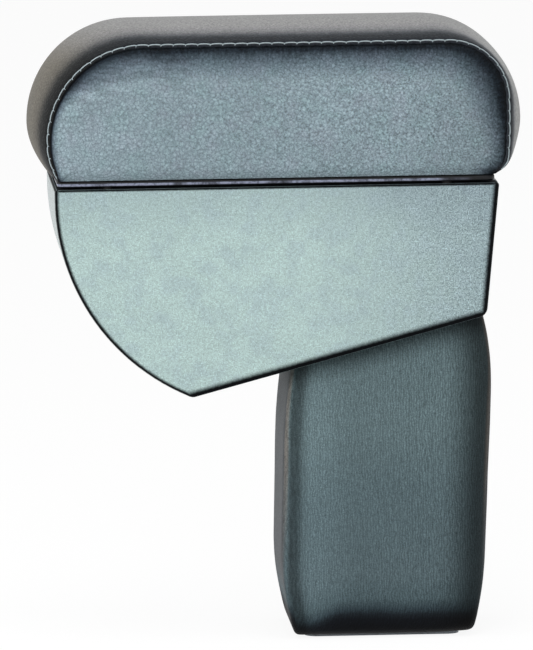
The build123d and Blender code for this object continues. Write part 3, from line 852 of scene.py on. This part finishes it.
def cushion_pattern(bulge):
    """The whole cover of the lid as one closed pattern: strip, hem, underside and the two side panels."""
    cover = CoverPattern()
    ys = [-SEAM_HALF + off for off in STRIP_ROWS] + [SEAM_HALF - off for off in reversed(STRIP_ROWS[:-1])]
    rows = [cover.over_and_under(cushion_outline(crown_share(y)), y, CUSHION_FOOT) for y in ys]
    cover.grid("strip", [over for over, under in rows])
    unders = [under for over, under in rows]
    for lower, upper in zip(unders, unders[1:]):
        for i in range(len(lower) - 1):
            hem = i < HEM_QUADS or i >= len(lower) - 1 - HEM_QUADS
            cover.face("strip" if hem else "under", lower[i], lower[i + 1], upper[i + 1], upper[i])
    seam = cushion_outline(0.0)
    for side, panel in ((-1, "near"), (1, "far")):
        rings = []
        for inset in PANEL_ROWS:
            foot = CUSHION_FOOT + SIDE_FOOT_SHARE * inset
            y = side * (SEAM_HALF + panel_bulge(inset, bulge))
            rings.append(cover.over_and_under(cushion_outline(0.0, inset, foot), y, foot))
        cover.grid(panel, [over for over, under in rings])
        cover.grid(panel, [under for over, under in rings])
        over, under = rings[-1]
        rows = [under]
        for step in range(1, PANEL_FILL_ROWS):
            share = step / PANEL_FILL_ROWS
            row = []
            for a, b in zip(under, over):
                if a == b:
                    row.append(a)
                    continue
                ax, _, az = cover.points[a]
                bx, _, bz = cover.points[b]
                x, z = ax + (bx - ax) * share, az + (bz - az) * share
                from_seam = min(hypot(x - px, z - pz) for px, pz in seam)
                inset = max(min(from_seam, (z - CUSHION_FOOT) / SIDE_FOOT_PACE), PANEL_ROWS[-1])
                row.append(cover.point(x, side * (SEAM_HALF + panel_bulge(inset, bulge)), z))
            rows.append(row)
        rows.append(over)
        cover.grid(panel, rows)
    return cover


def seam_places(cover):
    """For each point of the cover, its distance from the nearer seam and how far along that seam it is."""
    seam = cushion_outline(0.0)
    along = lengths_along(seam)
    offs = []
    runs = []
    for x, y, z in cover.points:
        if abs(y) < SEAM_HALF - TOUCH:
            outline = cushion_outline(crown_share(y))
            offs.append(hypot(SEAM_HALF - abs(y), CROWN * crown_share(y)))
        else:
            outline = seam
            offs.append(min(hypot(hypot(x - px, z - pz), abs(y) - SEAM_HALF) for px, pz in seam))
        nearest = min(range(len(outline)), key=lambda i: (outline[i][0] - x) ** 2 + (outline[i][1] - z) ** 2)
        runs.append(along[nearest])
    return offs, runs


def split_cover(whole, cover, panel, name):
    """One panel of the cover as a piece of its own."""
    piece = copy_of(whole)
    piece.name = name
    piece.data.name = name
    select_only(piece)
    bpy.ops.object.mode_set(mode="EDIT")
    bpy.ops.mesh.select_all(action="DESELECT")
    bpy.ops.object.mode_set(mode="OBJECT")
    for polygon, belongs in zip(piece.data.polygons, cover.panels):
        polygon.select = belongs != panel
    bpy.ops.object.mode_set(mode="EDIT")
    bpy.ops.mesh.select_mode(type="FACE")
    bpy.ops.mesh.delete(type="FACE")
    bpy.ops.object.mode_set(mode="OBJECT")
    apply_modifier(piece, "SUBSURF", levels=2, render_levels=2)
    return piece


def sewn_points(piece):
    """The piece's points, each with its normal, its distance from the seam and its place along it."""
    return zip(piece.data.vertices, normals_of(piece), painted(piece, "off"), painted(piece, "run"))


def bell(off, depth, reach):
    """A depth at the seam that dies away over this reach from it."""
    return depth * exp(-(off / reach) ** 2)


def beat(run):
    """1 where two stitches meet and -1 halfway along a stitch."""
    return cos(2 * pi * run / STITCH_PITCH)


def sew_strip(strip):
    """Draws the strip's edges down to the seams, with a small pucker at every stitch."""
    for vertex, normal, off, run in sewn_points(strip):
        if vertex.co.z < (CUSHION_FOOT + STRIP_HEM) * MM:
            continue
        sink = bell(off, STRIP_SINK, SINK_REACH) + beat(run) * bell(off, *STRIP_PUCKER)
        vertex.co -= normal * sink * MM
    apply_modifier(strip, "SOLIDIFY", thickness=COVER * MM, offset=-1.0)


def sew_panel(panel, side):
    """Tucks the panel's edge under the strip and puckers it at every stitch."""
    for vertex, normal, off, run in sewn_points(panel):
        foot = clamp((vertex.co.z / MM - CUSHION_FOOT) / PANEL_HEM)
        tuck = sum(bell(off, *part) for part in PANEL_TUCKS)
        pucker = beat(run) * bell(off, *PANEL_PUCKER)
        vertex.co.y -= side * (tuck + pucker) * foot * MM
        outwards = Vector((normal.x, 0.0, normal.z))
        if outwards.length > LEAST_LEAN:
            vertex.co -= outwards.normalized() * bell(off, PANEL_SINK, SINK_REACH) * foot * MM
    apply_modifier(panel, "SOLIDIFY", thickness=COVER * MM, offset=-1.0)


def short_thread(half, radius, dive, bow=0.0):
    """A short length of thread along X whose ends dive below it and bow towards +Y."""
    bpy.ops.mesh.primitive_uv_sphere_add(
        segments=THREAD_SIDES, ring_count=THREAD_RINGS, radius=1.0, rotation=(0, pi / 2, 0)
    )
    made = bpy.context.active_object
    bpy.ops.object.transform_apply(location=False, rotation=True, scale=False)
    for vertex in made.data.vertices:
        x, y, z = vertex.co
        girth = sqrt(max(1 - x * x, 0.0))
        full = min(girth * THREAD_FULLNESS, 1.0) / girth if girth > TOUCH else 0.0
        vertex.co = (x * half, y * full * radius + bow * x * x, z * full * radius - dive * x ** 4)
    return made


def stitch():
    """One stitch along X with its thread's tick at one end, towards the side panel at +Y."""
    thread = short_thread(STITCH_LENGTH / 2, STITCH_RADIUS, STITCH_DIVE, STITCH_BOW)
    tick = short_thread(TICK_LENGTH / 2, TICK_RADIUS, TICK_DIVE)
    to_end = Matrix.Translation((STITCH_LENGTH / 2, TICK_LENGTH * TICK_SHIFT, -TICK_DROP))
    tick.data.transform(to_end @ Matrix.Rotation(radians(TICK_TURN), 4, "Z"))
    join([thread, tick])
    thread.data.transform(Matrix.Scale(MM, 4))
    return thread


def seam_stitches(strip, side, name):
    """The row of stitches on one edge of the strip."""
    line = cushion_outline(0.0, steps=[4 * count for count in OUTLINE_STEPS])
    along = lengths_along(line)
    model = stitch()
    slant = Matrix.Rotation(radians(STITCH_SLANT), 4, "Z")
    row = []
    place = 0
    for number in range(int(along[-1] / STITCH_PITCH)):
        run = (number + 0.5) * STITCH_PITCH
        while along[place + 1] < run:
            place += 1
        (x0, z0), (x1, z1) = line[place], line[place + 1]
        share = (run - along[place]) / (along[place + 1] - along[place])
        ahead = Vector((x1 - x0, 0, z1 - z0)).normalized()
        outwards = Vector((-ahead.z, 0, ahead.x))
        guess = Vector((x0 + (x1 - x0) * share, side * (SEAM_HALF - STITCH_SET_IN), z0 + (z1 - z0) * share))
        _, spot, normal, _ = strip.closest_point_on_mesh((guess + outwards * STITCH_SEARCH) * MM)
        normal = (normal + outwards * STITCH_LEAN_OUT + Vector((0, side * STITCH_LEAN_SIDE, 0))).normalized()
        ahead = (ahead - normal * ahead.dot(normal)).normalized() * side
        turn = Matrix((ahead, normal.cross(ahead), normal)).transposed().to_4x4() @ slant
        row.append(copy_of(model))
        row[-1].data.transform(Matrix.Translation(spot + normal * STITCH_LIFT * MM) @ turn)
    bpy.data.objects.remove(model)
    stitches = join(row)
    stitches.name = name
    stitches.data.name = name
    return stitches


def off_tangent(radius, along):
    """How far an arc of this radius has left its tangent, this far along it."""
    return radius - sqrt(radius**2 - along**2)


def arc_tuck(depth, reach, height):
    """How far an arc that starts upright and moves in by reach over its height has moved in at this depth."""
    radius = (height**2 + reach**2) / (2 * reach)
    return off_tangent(radius, min(max(depth, 0.0), height))


def round_under(height, radius):
    """How far a rounded lower edge is drawn in at this height over it."""
    return off_tangent(radius, max(radius - height, 0.0))


def pulled_in(z, x, radius):
    """How far this end of the leg is drawn in under the box, at this height."""
    return off_tangent(radius, max(z - (box_floor(x) - LEG_PULL_HEIGHT), 0.0))


def leg_reach(z):
    """Front and rear of the leg at this height."""
    over_foot = z - LEG_FOOT
    front = LEG_FRONT + max(over_foot - LEG_FRONT_TUCK_HEIGHT, 0.0) * tan(radians(LEG_FRONT_LEAN))
    front += arc_tuck(LEG_FRONT_TUCK_HEIGHT - over_foot, LEG_FRONT_TUCK, LEG_FRONT_TUCK_HEIGHT)
    front += pulled_in(z, LEG_FRONT, LEG_FRONT_PULL)
    rear = LEG_REAR + over_foot * tan(radians(LEG_REAR_LEAN))
    rear -= arc_tuck(LEG_REAR_TUCK_HEIGHT - over_foot, LEG_REAR_TUCK, LEG_REAR_TUCK_HEIGHT)
    rear -= pulled_in(z, LEG_REAR, LEG_REAR_PULL)
    return front, rear


def leg_ring(z):
    """Plan of the leg at this height: its points, and for each its distance from the nearest corner and
    whether it is on a side (0) or on the front or rear (1)."""
    over_foot = z - LEG_FOOT
    front, rear = leg_reach(z)
    end_round = round_under(over_foot, LEG_FOOT_CORNER)
    front += end_round
    rear -= end_round
    half = LEG_HALF - round_under(over_foot, LEG_FOOT_ROUND)
    share = min(over_foot / LEG_CORNER_GROWTH, 1.0)
    radius = LEG_FOOT_CORNER + (LEG_CORNER - LEG_FOOT_CORNER) * share * (2 - share)
    low, high, side = front + radius, rear - radius, half - radius
    centres = ((low, -side), (high, -side), (high, side), (low, side))
    ring = []
    for quarter in range(4):
        cx, cy = centres[quarter]
        start = pi + quarter * pi / 2
        for part in shares(LEG_CORNER_QUADS):
            turn = start + part * pi / 2
            away = radius * abs(part - 0.5) * pi / 2
            end_share = 1 - part if quarter % 2 == 0 else part
            ring.append((cx + radius * cos(turn), cy + radius * sin(turn), away, end_share))
        nx, ny = centres[(quarter + 1) % 4]
        turn = start + pi / 2
        ax, ay = cx + radius * cos(turn), cy + radius * sin(turn)
        bx, by = nx + radius * cos(turn), ny + radius * sin(turn)
        length = hypot(bx - ax, by - ay)
        for part in shares(LEG_SIDE_QUADS):
            away = radius * pi / 4 + length * min(part, 1 - part)
            ring.append((ax + (bx - ax) * part, ay + (by - ay) * part, away, float(quarter % 2)))
    return ring


def leg_cover():
    """The leg's padded cover: rounded upright corners, drawn in at the foot and below the box."""
    cover = CoverPattern()
    rows = []
    marks = {}

    def add_row(places, hem=LEG_HEM):
        row = []
        for x, y, z, edge, end in places:
            rise = clamp((x - LEG_HEM_RISE_FROM) / (LEG_HEM_RISE_TO - LEG_HEM_RISE_FROM))
            hang = max(1 - (z - LEG_FOOT) / LEG_HEM_HEIGHT, 0.0) * (1 - rise * rise)
            index = cover.point(x, y, z - hem * hang)
            marks[index] = (edge, end)
            row.append(index)
        rows.append(row)

    foot = leg_ring(LEG_FOOT)
    middle = (LEG_FRONT + LEG_REAR) / 2
    for shrink in LEG_UNDER_ROWS:
        add_row(
            [(middle + (x - middle) * shrink, y * shrink, LEG_FOOT, edge, end) for x, y, edge, end in foot],
            hem=0.0,
        )
    for over_foot in LEG_FOOT_ROWS:
        z = LEG_FOOT + over_foot
        add_row([(x, y, z, edge, end) for x, y, edge, end in leg_ring(z)])
    low = LEG_FOOT + LEG_FOOT_ROWS[-1]
    for level in range(1, LEG_ROWS + 1):
        places = []
        for i, (x, y, edge, end) in enumerate(leg_ring(low)):
            for _ in range(LEG_FIT_ROUNDS):
                z = low + (box_floor(x) - low) * level / LEG_ROWS
                x, y, edge, end = leg_ring(z)[i]
            places.append((x, y, z, edge, end))
        add_row(places)
    cover.grid("leg", [row + row[:1] for row in rows])
    cover.face("leg", *rows[0])
    cover.face("leg", *rows[-1])
    piece = closed_piece("leg_upholstery", cover.points, cover.faces)
    paint(piece, "edge", [marks[i][0] for i in range(len(cover.points))])
    paint(piece, "ends", [marks[i][1] for i in range(len(cover.points))])
    crease = piece.data.attributes.new("crease_edge", "FLOAT", "EDGE")
    top = set(rows[-1])
    for edge in piece.data.edges:
        if edge.vertices[0] in top and edge.vertices[1] in top:
            crease.data[edge.index].value = 1.0
    held = [i for row in rows[:LEG_HELD_ROWS] for i in row] + rows[-1]
    moves = swell(piece, held, *LEG_FILL)
    for vertex, move in zip(piece.data.vertices, moves):
        vertex.co += move
    apply_modifier(piece, "SUBSURF", levels=2, render_levels=2)
    shade_smooth(piece)
    return piece


# The lid's cushion: a closed cover filled out by simulation, then parted into its sewn panels
pattern = cushion_pattern(SIDE_BULGE - PANEL_SWELL)
whole = closed_piece("lid_padding", pattern.points, pattern.faces)
offs, runs = seam_places(pattern)
paint(whole, "off", offs)
paint(whole, "run", runs)
fixed = [i for i, (x, y, z) in enumerate(pattern.points) if offs[i] < TOUCH or z < CUSHION_FOOT + TOUCH]
moves = swell(whole, fixed, *CUSHION_FILL)
rise = max(
    move.z for move, (x, y, z) in zip(moves, pattern.points)
    if abs(y) < TOP_MIDDLE_HALF and abs(x - TOP_MIDDLE) < TOP_MIDDLE_REACH
)
up = TOP_SWELL * MM / rise
out = PANEL_SWELL * MM / max(abs(move.y) for move in moves)
for vertex, move in zip(whole.data.vertices, moves):
    vertex.co += Vector((move.x * up, move.y * out, move.z * up))
strip = split_cover(whole, pattern, "strip", "lid_strip")
near_panel = split_cover(whole, pattern, "near", "lid_panel_near")
far_panel = split_cover(whole, pattern, "far", "lid_panel_far")
sew_strip(strip)
sew_panel(near_panel, -1)
sew_panel(far_panel, 1)
near_stitches = seam_stitches(strip, -1, "lid_stitches_near")
far_stitches = seam_stitches(strip, 1, "lid_stitches_far")

# The closed cover itself, drawn in, is the foam
foam = whole
for vertex, normal in zip(foam.data.vertices, normals_of(foam)):
    vertex.co -= normal * FOAM_INSET * MM
    if vertex.co.z < BOARD_TOP * MM and abs(normal.z) > UPRIGHT_NORMAL:
        vertex.co.z = BOARD_TOP * MM
lid_pieces = (strip, near_panel, far_panel, near_stitches, far_stitches, foam)
for piece in lid_pieces:
    shade_smooth(piece)

leg = leg_cover()

# Finishes
panel_finish = panel_leatherette()
strip_finish = strip_leatherette()
leg_finish = leg_leatherette()
thread_finish = sewing_thread()
foam_finish = open_foam("foam", srgb(196, 188, 160))
lid_finishes = (strip_finish, panel_finish, panel_finish, thread_finish, thread_finish, foam_finish)
for piece, material in zip(lid_pieces, lid_finishes):
    dress(piece, material)
dress(leg, leg_finish)
node_finishes = {
    open_foam("padding", srgb(190, 190, 186)): ["leg_padding"],
    brushed_steel(): [
        "hinge_lid_leaf", "hinge_box_leaf", "hinge_pin", "hinge_lid_screws", "hinge_box_screws",
        "lid_pan_screws", "leg_inserts", "leg_clamp_plate", "leg_clamp_screws", "foot_screws",
    ],
    chip_board(): [
        "lid_board", "leg_front_board", "leg_rear_board", "leg_near_board", "leg_far_board",
        "leg_top_block", "leg_base_board",
    ],
    pan_plastic(): ["lid_pan"],
    moulded_plastic("foot_plastic", srgb(190, 198, 206), 0.5, 0.8): ["foot_plate"],
    moulded_plastic("bumper_rubber", srgb(20, 20, 21), 0.75, 0.5): ["lid_bumpers"],
    box_plastic(): ["box_shell"],
    foam_finish: ["lid_foam"],
    panel_finish: ["lid_cover_near", "lid_cover_far"],
    strip_finish: ["lid_cover_top"],
    leg_finish: ["leg_cover"],
}
for material, names in node_finishes.items():
    for name in names:
        dress(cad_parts[name], material)

# What each piece moves with and stands for
for piece in lid_pieces:
    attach(piece, "lid")
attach(leg, "base")
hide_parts("lid_cover_top")
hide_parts("lid_cover_near")
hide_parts("lid_cover_far")
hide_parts("lid_foam")
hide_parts("leg_cover", "leg_padding")


def aim(name, data, azimuth, elevation, distance, roll=0.0):
    """A light or camera, turned to the armrest from these angles, of which 0 and 0 are its near side."""
    a, e = radians(azimuth), radians(elevation)
    back = Vector((sin(a) * cos(e), -cos(a) * cos(e), sin(e)))
    holder = bpy.data.objects.new(name, data)
    holder.location = Vector(CAMERA_TARGET) + back * distance
    upright = back.to_track_quat("Z", "Y").to_matrix()
    holder.rotation_euler = (upright @ Matrix.Rotation(radians(-roll), 3, "Z")).to_euler()
    add_to_scene(holder)
    return holder


def studio():
    """White floor and surroundings, and the three lights."""
    bpy.ops.mesh.primitive_plane_add(size=FLOOR_SIZE, location=(0, 0, -FLOOR_DROP * MM))
    ground = bpy.context.active_object
    ground.name = "studio_floor"
    material = bpy.data.materials.new("studio_floor")
    material.use_nodes = True
    floor = Nodes(material.node_tree)
    floor.tree.nodes.remove(floor.tree.nodes["Principled BSDF"])
    diffuse = floor.node("ShaderNodeBsdfDiffuse", {}, {"Color": FLOOR_COLOUR})
    glow = floor.node("ShaderNodeEmission", {}, {"Strength": FLOOR_GLOW})
    glow_share = floor.seen_straight() * FLOOR_GLOW_SHARE
    shader = floor.node("ShaderNodeMixShader", {}, {0: glow_share, 1: diffuse, 2: glow})
    floor.feed(floor.tree.nodes["Material Output"].inputs["Surface"], shader)
    dress(ground, material)

    world = bpy.data.worlds.new("studio")
    scene.world = world
    world.use_nodes = True
    sky = Nodes(world.node_tree)
    background = sky.tree.nodes["Background"]
    strength = sky.node("ShaderNodeMapRange", {}, {"Value": sky.seen_straight(), "To Min": SKY_LIGHT})
    sky.feed(background.inputs["Color"], SKY_COLOUR)
    sky.feed(background.inputs["Strength"], strength)

    for name, (azimuth, elevation, distance, size, power) in LIGHTS.items():
        lamp = bpy.data.lights.new(name, "AREA")
        lamp.shape = "DISK"
        lamp.size = size
        lamp.energy = power
        aim(name, lamp, azimuth, elevation, distance)


def photo_camera():
    lens = bpy.data.cameras.new("photo_camera")
    lens.lens = CAMERA_LENS
    scene.camera = aim("photo_camera", lens, CAMERA_AZIMUTH, CAMERA_ELEVATION, CAMERA_DISTANCE, CAMERA_ROLL)


studio()
photo_camera()
scene.view_settings.view_transform = "Standard"
